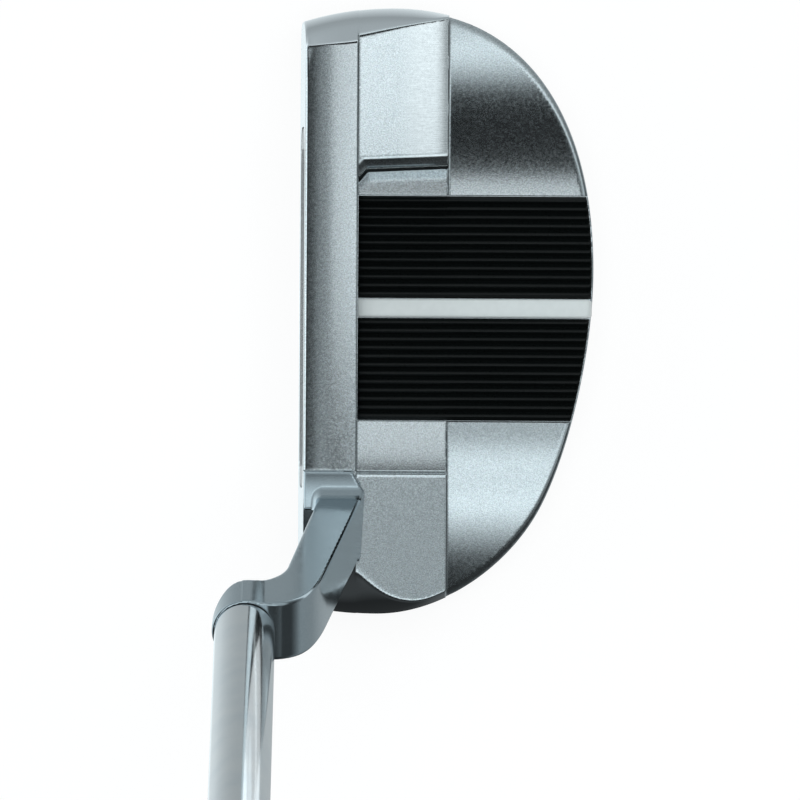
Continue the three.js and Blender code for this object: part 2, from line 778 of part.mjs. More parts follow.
// Everything round the shaft is built upright on its own axis and leant as one.
const shaftGroup = new THREE.Group();
shaftGroup.rotation.x = LEAN;
const onAxis = new THREE.Group();
onAxis.position.set(AXIS_X, NECK_N, 0);
onAxis.add(
  named('shaft', shaft(), chromePlate),
  named('shaft_epoxy', shaftEpoxy(), epoxyResin),
  named('grip_tape', gripTape(), paperTape),
  named('grip_underlisting', gripUnderlisting(), gripCore),
  named('grip_wrap', gripWrap(), gripSkin),
  named('grip_mouth_ring', gripMouthRing(), capRubber),
  named('grip_butt_cap', gripButtCap(), capRubber),
);
shaftGroup.add(onAxis);
putter.add(shaftGroup);

export default putter;
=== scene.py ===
"""Mallet putter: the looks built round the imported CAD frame.

The geometry is written in millimetres, in the CAD model's own axes: the face looks along -X, the
toe points along +Y, +Z is up and the origin lies on the sole under the sight line. It becomes
metres only when a mesh is made.
"""

import math

import bmesh
import bpy
import numpy as np
from mathutils import Matrix, Vector


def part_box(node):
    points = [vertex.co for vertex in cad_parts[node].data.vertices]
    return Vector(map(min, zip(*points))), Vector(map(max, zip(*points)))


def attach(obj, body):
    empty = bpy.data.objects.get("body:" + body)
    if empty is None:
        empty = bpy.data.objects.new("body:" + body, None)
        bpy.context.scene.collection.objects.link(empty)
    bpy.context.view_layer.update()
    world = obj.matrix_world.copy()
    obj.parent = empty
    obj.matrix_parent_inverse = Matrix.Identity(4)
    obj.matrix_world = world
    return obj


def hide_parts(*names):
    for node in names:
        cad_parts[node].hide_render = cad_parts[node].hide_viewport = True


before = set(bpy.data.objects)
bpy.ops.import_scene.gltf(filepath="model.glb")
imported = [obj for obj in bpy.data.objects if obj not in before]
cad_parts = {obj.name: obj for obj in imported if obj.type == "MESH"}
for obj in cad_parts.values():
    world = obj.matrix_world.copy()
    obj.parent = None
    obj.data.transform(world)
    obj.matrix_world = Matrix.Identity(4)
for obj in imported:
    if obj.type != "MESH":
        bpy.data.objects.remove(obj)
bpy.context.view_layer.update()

MM = 0.001


def box_mm(node):
    """A CAD node's lowest and highest corner, in millimetres."""
    low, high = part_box(node)
    return np.array(low) / MM, np.array(high) / MM


HEAD_LOW, HEAD_HIGH = box_mm("head_body")

# ---- dimensions, mm

LEAN = math.radians(20)  # the shaft from vertical, towards the heel
LOFT = math.radians(2.5)

FACE_X = HEAD_LOW[0]
REAR_X = HEAD_HIGH[0]
TOE_Y = HEAD_HIGH[1]
HEEL_Y = HEAD_LOW[1]
TOPLINE_Z = HEAD_HIGH[2]
BAND_BACK_X = -15.3  # rear edge of the topline
BLOCK_BACK_X = 0.3  # rear wall of the pads
PAD_Z = 24.4
CHANNEL_Z = 14.2
FLANGE_Z = 13.0
SEAT_Z = 12.0  # floor of the recess under the inlays

HEEL_PAD_EDGE_Y = -28.8
TOE_WALL_Y = 23.35  # foot of the toe channel's wall
TOE_PAD_EDGE_Y = 25.9
END_ROLL_Z = TOPLINE_Z + 0.35  # where the rolls down the head's two ends begin
END_ROLL_HEIGHT = 15.0
CRISP_R = 0.12  # radius of a crisp machined edge

INLAY_HALF_WIDTH = 19.5
RIB_COUNT = 12

INSERT_LENGTH = 62
INSERT_HEIGHT = 16
INSERT_THICKNESS = 4.0
INSERT_MID_Z = 12.7
INSERT_GAP = 0.12

# The neck, in the shaft's frame: x as above, n to the front of the lean, s up the shaft
NECK_N = -26.6
NECK_HALF_WIDTH = 5.2
AXIS_X = -33.8
BOSS_R = 5.55
ARM_TOP_S = 88.2
SADDLE_START_Y = -28.2
FOOT_END_Y = -43.4
FOOT_THICKNESS = 2.0
FOOT_BACK_X = -14.9
FOOT_FRONT_BACK_X = -16.0  # the foot's rear corner at its front seam
TENON_R = 3.2
TENON_X = -19.6
TENON_Y = -36.4
TENON_BOTTOM_Z = 12.0
SPIGOT_R = 4.1
SPIGOT_LENGTH = 28.0

# ---- outlines


def curve(points, steps):
    """Points along a Bezier curve of any order, without its last point."""
    t = np.linspace(0, 1, steps, endpoint=False)[:, None]
    rows = [np.array(p, float)[None, :] + 0 * t for p in points]
    while len(rows) > 1:
        rows = [a * (1 - t) + b * t for a, b in zip(rows, rows[1:])]
    return rows[0]


class Outline:
    """The signed distance to a closed plane curve, negative inside, smooth enough for normals."""

    def __init__(self, loop, low, high, cell):
        self.low = np.array(low, float)
        self.cell = cell
        self.size = np.ceil((np.array(high) - self.low) / cell).astype(int) + 4
        u, v = [self.low[i] + cell * (np.arange(self.size[i]) - 1) for i in range(2)]
        grid = np.stack(np.meshgrid(u, v, indexing="ij"), -1).reshape(-1, 2)
        ends = np.roll(loop, -1, axis=0)
        nearest = np.full(len(grid), np.inf)
        crossings = np.zeros(len(grid), int)
        for a, b in zip(loop, ends):
            side = b - a
            along = np.clip((grid - a) @ side / (side @ side), 0, 1)
            gap = grid - a - along[:, None] * side
            nearest = np.minimum(nearest, (gap**2).sum(1))
            spans = (a[1] > grid[:, 1]) != (b[1] > grid[:, 1])
            if a[1] != b[1]:
                reach = a[0] + (grid[:, 1] - a[1]) * side[0] / side[1]
                crossings += spans & (grid[:, 0] < reach)
        signed = np.sqrt(nearest) * np.where(crossings % 2 == 1, -1, 1)
        self.table = signed.reshape(self.size)

    def __call__(self, u, v):
        """A cubic B-spline through the table."""
        place = [(np.asarray(w) - self.low[i]) / self.cell for i, w in enumerate((u, v))]
        place = [np.clip(w, 0, self.size[i] - 4.001) for i, w in enumerate(place)]
        base = [w.astype(int) for w in place]
        (u, u_weights), (v, v_weights) = [(b, self.weights(w - b)) for w, b in zip(place, base)]
        total = 0
        for i in range(4):
            for j in range(4):
                total = total + u_weights[i] * v_weights[j] * self.table[u + i, v + j]
        return total

    def weights(self, t):
        """How much each of four neighbours counts at t, between the middle two."""
        return (
            (1 - t) ** 3 / 6,
            (3 * t**3 - 6 * t**2 + 4) / 6,
            (-3 * t**3 + 3 * t**2 + 3 * t + 1) / 6,
            t**3 / 6,
        )


def head_outline():
    """The D-shaped plan, run on past the face, which is cut square afterwards."""
    start = (FACE_X - 35, 42)
    toe_corner = (-24.5, 49.6)
    toe_tip = (-9.1, TOE_Y)
    rear_middle = (REAR_X, 6.45)
    heel_bend = (16.35, -34.93)
    heel_tip = (-11.7, HEEL_Y)
    heel_corner = (-24.5, -51.6)
    end = (FACE_X - 35, -43)
    loop = [
        curve([start, toe_corner], 8),
        curve([toe_corner, (-17, TOE_Y), toe_tip], 30),
        curve([toe_tip, (12.9, TOE_Y), (REAR_X, 34.2), rear_middle], 120),
        curve([rear_middle, (REAR_X, -8.1), (21.2, -26.0), heel_bend], 90),
        curve([heel_bend, (11.2, -44.5), (-0.1, HEEL_Y), heel_tip], 90),
        curve([heel_tip, (-18.5, HEEL_Y), heel_corner], 30),
        curve([heel_corner, end], 8),
        curve([end, start], 4),
    ]
    return np.concatenate(loop)


plan = Outline(head_outline(), (-29, -56), (29, 55), 0.3)

# ---- solids as signed distances


def union(a, b, r=0.0):
    """The union of two solids, with a fillet of radius r where they meet."""
    return np.maximum(r, np.minimum(a, b)) - np.hypot(np.maximum(r - a, 0), np.maximum(r - b, 0))


def common(a, b, r=0.0):
    """What two solids share, its new edges rounded to radius r."""
    return -union(-a, -b, r)


def cut(a, b, r=0.0):
    """The first solid without the second."""
    return common(a, -b, r)


def all_of(*solids):
    """What several solids share, its edges left sharp."""
    return np.maximum.reduce(solids)


def block(low, high, *places):
    """A box, given by its lowest and highest corner; None leaves a side open."""
    sides = [lo - place for place, lo in zip(places, low) if lo is not None]
    sides += [place - hi for place, hi in zip(places, high) if hi is not None]
    return all_of(*sides)


def rolled(edge, z, top, width, height):
    """Under a level top, with an elliptical roll of that width and height at its edge."""
    u = np.maximum(edge + width, 0) / width
    v = np.maximum(z - top + height, 0) / height
    r = np.maximum(np.hypot(u, v), 0.1)
    slope = np.maximum(np.hypot(u / width, v / height) / r, 1 / np.maximum(width, height))
    return (r - 1) / slope


def ease(t):
    """A smooth step from 0 to 1."""
    t = np.clip(t, 0, 1)
    return t * t * (3 - 2 * t)


def dome(y):
    """The flange's top: level across the inlays, falling away to toe and heel."""
    crown = 14.0
    edge = 55.0
    fall = 9.0
    out = np.maximum(np.abs(y) - crown, 0) / (edge - crown)
    return FLANGE_Z - fall * out**2


def insert_outline(y, z, grow):
    """A rounded rectangle in the face plane."""
    corner = 5.0
    dy = np.abs(y) - INSERT_LENGTH / 2 - grow + corner
    dz = np.abs(z - INSERT_MID_Z) - INSERT_HEIGHT / 2 - grow + corner
    return np.hypot(np.maximum(dy, 0), np.maximum(dz, 0)) + np.minimum(np.maximum(dy, dz), 0) - corner


def face_depth(x, z):
    """How far a point lies behind the lofted face plane."""
    return (x - FACE_X) * math.cos(LOFT) - z * math.sin(LOFT)


def topline_height(x):
    """The topline is crowned: it falls to the face, ever more steeply."""
    forward = np.maximum(BAND_BACK_X - x, 0)
    return TOPLINE_Z - 0.03 * forward - 0.006 * forward**2 - 0.00003 * forward**4


def end_roll_width(x, y):
    """How wide the roll down the head's ends is: it narrows towards the pads' rear wall."""
    back = np.clip(-x, 0, 18)
    back = back - np.maximum(back - 14, 0) ** 2 / 8
    toe = 1.2 + 0.62 * back - 0.0145 * back**2
    heel = 1.9 + 10.1 * (np.maximum(back - 2, 0) / 12.4) ** 2
    return np.where(y > 0, toe, heel)


def foot_side(y):
    """The rear side of the neck's foot spreads from the seam."""
    return FOOT_FRONT_BACK_X + 0.57 * (SADDLE_START_Y - y)


def foot_back(y):
    """The rear side of the foot as it lies in the head."""
    return np.minimum(foot_side(y), FOOT_BACK_X)


def end_rolls(x, y, z, edge):
    """Everything under the rolls down the head's two ends."""
    return rolled(edge, z, END_ROLL_Z, end_roll_width(x, y), END_ROLL_HEIGHT)


def valley_air(x, y, z):
    """What is cut away between the pads: two steep walls, a floor and a bevelled front corner."""
    toe_skew = 0.045
    bevel = 1.9
    toe_wall = y - TOE_WALL_Y - toe_skew * (x + 10)
    corner = (toe_wall + BAND_BACK_X - x + bevel) / math.sqrt(2)
    toe_wall = np.maximum(toe_wall, corner)

    heel_slope = 0.05
    heel_foot = HEEL_PAD_EDGE_Y + heel_slope * (PAD_Z - CHANNEL_Z)
    heel_wall = (heel_foot - (z - CHANNEL_Z) * heel_slope - y) / math.hypot(1, heel_slope)

    # The floor falls towards the toe, and curves up towards the heel.
    toe_floor = -(y - 21) * math.tan(math.radians(5.3))
    past_inlays = np.maximum(-INLAY_HALF_WIDTH - y, 0)
    heel_floor = 0.05 * past_inlays + 0.0062 * past_inlays**2
    floor = CHANNEL_Z + np.where(y > 0, toe_floor, heel_floor) - z
    return common(common(floor, toe_wall), heel_wall, 0.15)


def head_pads(x, y, z, ends):
    """The toe and heel pads, with the channels' walls and floor between them."""
    toe_tilt = math.tan(math.radians(2.0))
    heel_tilt = math.tan(math.radians(0.4))
    top = PAD_Z - 0.15 + np.where(y > 0, (y - 37) * toe_tilt, (y + 40) * heel_tilt)
    rear_fall = 0.021 * np.maximum(x + 2.2, 0) ** 2
    top = top - np.where(y > 0, rear_fall, 0)

    # The toe pad goes over a wide shoulder, which starts at a slight crease.
    toe_shoulder = 3.7
    crease = math.radians(19)
    shoulder = np.where(y > 0, toe_shoulder, CRISP_R)
    above = np.where(y > 0, (1 - math.cos(crease)) * toe_shoulder, 0)
    pads = cut(z - top - above, valley_air(x, y, z), shoulder)
    pads = common(pads, z - top, CRISP_R)
    pads = common(ends, pads, 0.5)

    # The heel pad's edge is a narrow rim, tilted towards the toe.
    rim_tilt = math.radians(18.5)
    rim_up = z - PAD_Z + 0.15
    rim_along = y - HEEL_PAD_EDGE_Y + 0.4
    rim = rim_up * math.cos(rim_tilt) + rim_along * math.sin(rim_tilt)
    pads = np.where(y > 0, pads, np.maximum(pads, rim))
    return common(pads, x - BLOCK_BACK_X, CRISP_R)


def sole_rise(x, y):
    """How far the sole rises off its flat towards toe, heel and rear."""
    flat = 21.0
    towards_ends = 0.0025 * np.maximum(np.abs(y) - flat, 0) ** 2
    towards_rear = 5.6 * (np.maximum(x - 3, 0) / 24) ** 2
    return towards_ends + towards_rear


def head_solid(x, y, z):
    """The head, cut away for the inlays, the neck's foot and tenon, and the face insert."""
    edge = plan(x, y)
    ends = end_rolls(x, y, z, edge)
    topline = common(ends, z - topline_height(x), 0.15)
    topline = common(topline, x - BAND_BACK_X, CRISP_R)
    solid = union(topline, head_pads(x, y, z, ends), 0.2)
    flange = rolled(edge, z, dome(y), 1.3, 0.7)
    solid = union(solid, flange, 0.25)
    sole = rolled(edge, -z, -sole_rise(x, y), 3.0, 4.5)
    solid = common(solid, sole, 0.3)
    solid = common(solid, -face_depth(x, z), 0.4)

    recess = block((BAND_BACK_X, -INLAY_HALF_WIDTH, SEAT_Z), (None, INLAY_HALF_WIDTH, None), x, y, z)
    solid = cut(solid, recess, CRISP_R)

    gap = 0.1
    low = (None, FOOT_END_Y - gap, TOPLINE_Z - FOOT_THICKNESS - gap)
    high = (None, SADDLE_START_Y + gap, None)
    step = np.maximum(block(low, high, x, y, z), x - foot_back(y) - gap)
    solid = cut(solid, step, 0.1)

    bond = 0.6
    socket = np.hypot(x - TENON_X, y - TENON_Y) - TENON_R - bond
    socket = np.maximum(socket, TENON_BOTTOM_Z - bond - z)
    solid = cut(solid, socket)

    pocket_depth = INSERT_THICKNESS + bond
    pocket = np.maximum(insert_outline(y, z, INSERT_GAP), face_depth(x, z) - pocket_depth)
    return cut(solid, pocket, CRISP_R)


def post_front(s):
    """The face side of the post leans forward over the face as it rises."""
    return -21.4 + (34.5 - s) * 0.148


def post_rear(s):
    """The rear side of the post leans the same way, a little more."""
    return -13.9 + (34.5 - s) * 0.163


def neck_profile():
    """The post, arm and boss from the front of the lean, in (x, s)."""
    left = AXIS_X - BOSS_R - 3
    above = ARM_TOP_S + 3
    foot_s = 20.0
    foot_left = (post_front(foot_s), foot_s)
    foot_right = (post_rear(foot_s), foot_s)
    post_top = (-20.1, 72.5)
    arm_top = (-29.0, ARM_TOP_S)
    arm_right = (-31.5, above)
    boss_left = (left, 88.0)
    boss_under = (AXIS_X, 78.1)
    bend_under = (-26.5, 69)
    loop = [
        curve([foot_right, post_top], 20),
        curve([post_top, (-21.8, 82.5), (-23.5, 87.6), arm_top], 60),
        curve([arm_top, (-31.0, ARM_TOP_S + 0.3), arm_right], 12),
        curve([arm_right, (left, above)], 4),
        curve([(left, above), boss_left], 4),
        curve([boss_left, (AXIS_X - 5.2, 86.0), (AXIS_X - 4.6, 78.1), boss_under], 40),
        curve([boss_under, (-27.4, 77.2), bend_under], 40),
        curve([bend_under, foot_left], 20),
        curve([foot_left, foot_right], 4),
    ]
    return np.concatenate(loop)


profile = Outline(neck_profile(), (-44, 17), (-8, 94), 0.3)


def neck_foot(x, y, z):
    """The foot: flush in the topline, then a ramp that sweeps up into the front of the post."""
    back = x - foot_back(y)
    front = -face_depth(x, z)
    bottom = TOPLINE_Z - FOOT_THICKNESS - z
    length = block((FOOT_END_Y,), (SADDLE_START_Y,), y)
    plate = all_of(back, front, bottom, length, z - topline_height(x))

    # Above the topline the ramp's rear side spreads until it is flush with the post.
    s = z * math.cos(LEAN) - y * math.sin(LEAN)
    flush = np.maximum(x - foot_side(y), x - post_rear(s))
    back = np.where(z > TOPLINE_Z, flush, back)
    along = np.maximum(SADDLE_START_Y - y, 0)
    ramp_top = TOPLINE_Z + 0.27 * along + 0.007 * along**2
    inside_post = -34.3
    heel_end = (TOPLINE_Z + 1 - z) * 0.49 + (inside_post - y) * 0.87
    ramp = all_of(back, front, bottom, heel_end, y - SADDLE_START_Y)
    return np.minimum(plate, common(ramp, z - ramp_top, 0.3))


def neck_solid(x, n, s):
    """The neck, in the shaft's frame."""
    y = n * math.cos(LEAN) - s * math.sin(LEAN)
    z = n * math.sin(LEAN) + s * math.cos(LEAN)
    across = n - NECK_N
    arm = np.maximum(np.abs(across) - NECK_HALF_WIDTH, AXIS_X - x)
    boss = np.hypot(x - AXIS_X, across) - BOSS_R
    solid = common(union(arm, boss, 0.8), profile(x, s), 0.55)
    solid = common(solid, s - ARM_TOP_S, 0.3)
    solid = np.maximum(solid, TOPLINE_Z - FOOT_THICKNESS - z)
    solid = union(solid, neck_foot(x, y, z), 1.4)
    solid = np.maximum(solid, x - post_rear(s))

    spigot = np.maximum(np.hypot(x - AXIS_X, across) - SPIGOT_R, s - ARM_TOP_S - SPIGOT_LENGTH)
    spigot = np.maximum(spigot, ARM_TOP_S - 2 - s)
    tenon = np.maximum(np.hypot(x - TENON_X, y - TENON_Y) - TENON_R, TENON_BOTTOM_Z - z)
    tenon = np.maximum(tenon, z - TOPLINE_Z + 1)
    return union(union(solid, spigot, 0.3), tenon, 0.3)


INSERT_GROOVES = 10
GROOVE_PITCH = (INSERT_HEIGHT - 3) / (INSERT_GROOVES - 1)


def insert_solid(x, y, z):
    """The face insert, scored with level grooves that end in round tips."""
    depth = face_depth(x, z)
    slab = np.maximum(0.05 - depth, depth - INSERT_THICKNESS)
    solid = common(insert_outline(y, z, 0), slab, 0.2)
    from_middle = (z - INSERT_MID_Z) / GROOVE_PITCH
    nearest = np.clip(np.floor(from_middle), -INSERT_GROOVES / 2, INSERT_GROOVES / 2 - 1) + 0.5
    off = (from_middle - nearest) * GROOVE_PITCH
    reach = INSERT_LENGTH / 2 - np.where(np.abs(nearest) > INSERT_GROOVES / 2 - 1, 6, 4)
    groove_r = 0.35
    groove = np.hypot(np.maximum(np.abs(y) - reach, 0), off) - groove_r
    return cut(solid, np.maximum(groove, depth - groove_r), 0.1)


# ---- solids to meshes


def slope_of(solid, p, step=0.02):
    """The outward normal of a solid's surface at each point."""
    g = np.empty_like(p)
    for i in range(3):
        ahead = p.copy()
        behind = p.copy()
        ahead[:, i] += step
        behind[:, i] -= step
        g[:, i] = solid(*ahead.T) - solid(*behind.T)
    return g / np.maximum(np.linalg.norm(g, axis=1), 1e-9)[:, None]


def crossings(solid, lines, field, axis):
    """
    Where the surface crosses the grid's edges along one axis: the grid corner before each
    crossing, whether that corner is inside the solid, and the crossing's place.
    """
    near = [slice(None)] * 3
    far = [slice(None)] * 3
    near[axis] = slice(0, -1)
    far[axis] = slice(1, None)
    value_0 = field[tuple(near)]
    value_1 = field[tuple(far)]
    corner = np.argwhere((value_0 < 0) != (value_1 < 0))
    value_0 = value_0[tuple(corner.T)]
    value_1 = value_1[tuple(corner.T)]
    starts_inside = value_0 < 0
    start = np.stack([lines[i][corner[:, i]] for i in range(3)], 1)
    length = lines[axis][corner[:, axis] + 1] - start[:, axis]
    low = np.zeros(len(corner))
    high = np.ones(len(corner))
    for attempt in range(4):
        t = value_0 / (value_0 - value_1)
        if attempt:
            t = low + (high - low) * np.clip(t, 0.02, 0.98)
        place = start.copy()
        place[:, axis] += t * length
        value = solid(*place.T)
        same = (value < 0) == (value_0 < 0)
        low = np.where(same, t, low)
        value_0 = np.where(same, value, value_0)
        high = np.where(same, high, t)
        value_1 = np.where(same, value_1, value)
    return corner, starts_inside, place


def corner_normals(solid, points, quads):
    """A normal for each corner of each quad: its point's own, or the quad's beside an edge."""
    at_point = slope_of(solid, points)[quads]
    towards = points[quads].mean(1, keepdims=True)
    inward = (points[quads] * 0.65 + towards * 0.35).reshape(-1, 3)
    at_corner = slope_of(solid, inward).reshape(-1, 4, 3)
    smooth = (at_point * at_corner).sum(2, keepdims=True) > math.cos(math.radians(20))
    return np.where(smooth, at_point, at_corner)


def skin(solid, lines):
    """
    Dual contouring: one point in each grid cell that the surface crosses, placed where the planes
    of its crossings meet, so that edges stay crisp. Returns points, quads and corner normals.
    """
    shape = [len(line) for line in lines]
    field = solid(*[g.ravel() for g in np.meshgrid(*lines, indexing="ij")]).reshape(shape)
    cells = [n - 1 for n in shape]
    n_cells = cells[0] * cells[1] * cells[2]
    planes = np.zeros((n_cells, 6))
    pulls = np.zeros((n_cells, 3))
    middle = np.zeros((n_cells, 3))
    count = np.zeros(n_cells)
    quads = []
    for axis in range(3):
        corner, starts_inside, place = crossings(solid, lines, field, axis)
        normal = slope_of(solid, place)
        whole = np.ones(len(corner), bool)
        around = []
        others = [i for i in range(3) if i != axis]
        for du, dv in ((-1, -1), (0, -1), (0, 0), (-1, 0)):
            cell = corner.copy()
            cell[:, others[0]] += du
            cell[:, others[1]] += dv
            in_grid = np.all((cell >= 0) & (cell < np.array(cells)), axis=1)
            whole &= in_grid
            number = np.ravel_multi_index(np.clip(cell, 0, np.array(cells) - 1).T, cells)
            around.append(number)
            number = number[in_grid]
            n = normal[in_grid]
            q = place[in_grid]
            reach = (n * q).sum(1)
            for column, (a, b) in enumerate(((0, 0), (0, 1), (0, 2), (1, 1), (1, 2), (2, 2))):
                planes[:, column] += np.bincount(number, n[:, a] * n[:, b], n_cells)
            for a in range(3):
                pulls[:, a] += np.bincount(number, n[:, a] * reach, n_cells)
                middle[:, a] += np.bincount(number, q[:, a], n_cells)
            count += np.bincount(number, minlength=n_cells)
        quad = np.stack(around, 1)[whole]
        flip = starts_inside[whole] == (axis == 1)
        quad[flip] = quad[flip][:, ::-1]
        quads.append(quad)

    used = np.flatnonzero(count)
    centre = middle[used] / count[used][:, None]
    square = planes[used][:, [0, 1, 2, 1, 3, 4, 2, 4, 5]].reshape(-1, 3, 3)
    stiff = 0.03  # holds a point near its crossings where the planes leave it free
    pull = pulls[used] - np.einsum("nij,nj->ni", square, centre)
    points = centre + np.linalg.solve(square + stiff * np.eye(3), pull[:, :, None])[:, :, 0]
    where = np.stack(np.unravel_index(used, cells), 1)
    for i in range(3):
        points[:, i] = np.clip(points[:, i], lines[i][where[:, i]], lines[i][where[:, i] + 1])
    renumber = np.zeros(n_cells, int)
    renumber[used] = np.arange(len(used))
    quads = renumber[np.concatenate(quads)]
    return points, quads, corner_normals(solid, points, quads)


def make_object(name, points, faces, normals=None):
    """A mesh object from points in millimetres."""
    mesh = bpy.data.meshes.new(name)
    mesh.from_pydata((np.asarray(points) * MM).tolist(), [], [list(f) for f in faces])
    mesh.shade_smooth()
    if normals is not None:
        mesh.normals_split_custom_set(normals.reshape(-1, 3).tolist())
    obj = bpy.data.objects.new(name, mesh)
    bpy.context.scene.collection.objects.link(obj)
    return obj


def spaced(low, high, coarse, fine, *places):
    """Grid lines from low to high: `fine` apart near each place, `coarse` apart elsewhere."""
    reach = 1.6
    lines = [low]
    while lines[-1] < high:
        here = lines[-1]
        gap = min([abs(here - place) for place in places] + [abs(here + fine - p) for p in places])
        step = fine + (coarse - fine) * min(max(gap - reach / 2, 0) / reach, 1)
        lines.append(here + step)
    off_faces = 0.0137  # keeps the grid's lines from lying in flat faces
    return np.array(lines) + off_faces


# Where the head's surface turns quickly along Y, besides the edges that have names
HEAD_TURNS_Y = (-49.5, -25.4, 23.2, 45.0, 48.5, 51.0)

HEAD_LINES = (
    spaced(FACE_X - 1.1, REAR_X + 0.9, 0.5, 0.28, FACE_X + 0.6, BAND_BACK_X, BLOCK_BACK_X),
    spaced(
        HEEL_Y - 0.9, TOE_Y + 0.9, 0.6, 0.3,
        -INLAY_HALF_WIDTH, INLAY_HALF_WIDTH, TOE_PAD_EDGE_Y, HEEL_PAD_EDGE_Y, SADDLE_START_Y,
        *HEAD_TURNS_Y,
    ),
    spaced(-0.9, TOPLINE_Z + 0.8, 0.5, 0.28, PAD_Z, TOPLINE_Z, SEAT_Z, FLANGE_Z, CHANNEL_Z),
)
NECK_LINES = (
    spaced(-40.0, -12.6, 0.32, 0.25, AXIS_X - BOSS_R, FOOT_BACK_X),
    spaced(-39.0, -7.0, 0.34, 0.28, NECK_N - NECK_HALF_WIDTH, NECK_N + NECK_HALF_WIDTH),
    spaced(10.0, ARM_TOP_S + SPIGOT_LENGTH + 0.8, 0.42, 0.2, ARM_TOP_S),
)
INSERT_LINES = (
    spaced(FACE_X - 0.7, FACE_X + INSERT_THICKNESS + 1.6, 0.4, 0.15, FACE_X + 0.3),
    spaced(-INSERT_LENGTH / 2 - 0.7, INSERT_LENGTH / 2 + 0.7, 0.6, 0.3, -27, 27),
    np.arange(INSERT_MID_Z - 8.7, INSERT_MID_Z + 8.7, 0.16),
)

SHAFT_TURN = np.array(Matrix.Rotation(LEAN, 3, "X"))


def from_shaft_frame(points):
    """Points in (x, n, s) to the club's axes."""
    return np.asarray(points) @ SHAFT_TURN.T


# ---- lofts


def loft(name, rings, closed=False, in_shaft_frame=True):
    """A closed skin through rings of equal length; `closed` joins the last ring to the first."""
    rings = np.asarray(rings, float)
    n_rings, n = rings.shape[:2]
    faces = []
    for i in range(n_rings if closed else n_rings - 1):
        j = (i + 1) % n_rings
        for a in range(n):
            b = (a + 1) % n
            faces.append((i * n + a, i * n + b, j * n + b, j * n + a))
    if not closed:
        faces.append(tuple(range(n - 1, -1, -1)))
        faces.append(tuple(range((n_rings - 1) * n, n_rings * n)))
    points = rings.reshape(-1, 3)
    if in_shaft_frame:
        points = from_shaft_frame(points)
    return make_object(name, points, faces)


def crisp(obj, degrees=40):
    """A closed mesh turned outwards and shaded smooth, sharp where faces meet at an angle."""
    shell = bmesh.new()
    shell.from_mesh(obj.data)
    bmesh.ops.recalc_face_normals(shell, faces=shell.faces)
    shell.to_mesh(obj.data)
    shell.free()
    obj.data.shade_smooth()
    obj.data.set_sharp_from_angle(angle=math.radians(degrees))
    return obj


def round_ring(radius, s, segments):
    """A ring about the shaft's axis."""
    turn = np.linspace(0, 2 * math.pi, segments, endpoint=False)
    return np.stack(
        [AXIS_X + radius * np.cos(turn), NECK_N + radius * np.sin(turn), np.full(segments, s)], 1
    )


def turned_piece(name, profile_points, segments=128):
    """A closed profile of (radius, s) turned about the shaft's axis."""
    return crisp(loft(name, [round_ring(r, s, segments) for r, s in profile_points], closed=True))


# ---- head pieces

right_side = head_outline()
right_side = right_side[right_side[:, 0] > 5]


def rear_edge(y):
    """How far back the head's outline lies at this y."""
    return np.interp(-y, -right_side[:, 1], right_side[:, 0])


def rib_panel(name, side):
    """One ribbed panel: rounded ribs that end in a small roll just inside the outline."""
    low, high = box_mm(name)
    inner, outer = 1.72, 19.38
    pitch = (outer - inner) / RIB_COUNT
    steps_per_rib = 12
    rib_depth = 0.6
    gap = 0.35
    roll = 0.35
    lip = 0.15
    front = low[0]
    turn = np.linspace(0, math.pi / 2, 5)
    rings = []
    for y in np.linspace(inner, outer, RIB_COUNT * steps_per_rib + 1):
        phase = ((y - inner) / pitch) % 1
        rise = (0.5 - 0.5 * math.cos(2 * math.pi * phase)) ** 0.7
        top = high[2] - rib_depth * (1 - rise)
        back = rear_edge(side * y) - gap
        level = np.linspace(front + 1, back - roll - 0.5, 14)
        xs = [front, front, front + lip, *level, *(back - roll + roll * np.sin(turn)), back]
        zs = [low[2], top - lip] + [top] * (1 + len(level))
        zs += [*(top - roll + roll * np.cos(turn)), low[2]]
        rings.append([(x, side * y, z) for x, z in zip(xs, zs)])
    return crisp(loft(name.replace("_rib_", "_ribbed_"), rings, in_shaft_frame=False), 50)


def sight_line():
    """The sight bar: crowned, with a rounded rear end."""
    low, high = box_mm("sight_bar")
    half = (high[1] - low[1]) / 2
    corner = 0.45
    rings = []
    end = 1.3
    stations = [(low[0], 1.0, 0.15), (low[0] + 0.15, 1.0, 0.0)]
    stations += [(x, 1.0, 0.0) for x in np.linspace(low[0] + 1, high[0] - end, 24)]
    for t in np.linspace(0.12, 1, 10):
        angle = t * math.pi / 2
        stations.append((high[0] - end + end * math.sin(angle), 0.72 + 0.28 * math.cos(angle),
                         1.5 * (1 - math.cos(angle)) ** 1.6))
    for x, spread, drop in stations:
        top = high[2] - drop
        turn = np.linspace(0, math.pi / 2, 5)
        right = [(half - corner + corner * math.cos(t), top - 0.06 - corner + corner * math.sin(t))
                 for t in turn]
        crown = [(y, top - 0.06 * (y / (half - corner)) ** 2) for y in (0.7, 0.35, 0.0)]
        side = [(half, low[2])] + right + crown
        section = side + [(-y, z) for y, z in side[-2::-1]]
        rings.append([(x, y * spread, z) for y, z in section])
    return crisp(loft("sight_line_bar", rings, in_shaft_frame=False), 50)


# ---- shaft and grip

CLUB_LENGTH = 863.6
JOINT_GAP = 0.3
SHAFT_TIP_R = 5.15
SHAFT_BUTT_R = 7.55
SHAFT_WALL = 0.55
SHAFT_STEP_COUNT = 13
SHAFT_STEP_PITCH = 34.0
SHAFT_PARALLEL_TIP = 190.0
GRIP_LENGTH = 267.0
GRIP_FLAT = 10.0
GRIP_SEGMENTS = 144
WRAP_THICKNESS = 1.3
MOUTH_RING_LENGTH = 6.0
CAP_THICKNESS = 4.0
CAP_PLUG_R = 5.6
CAP_PLUG_LENGTH = 9.0
VENT_R = 1.5

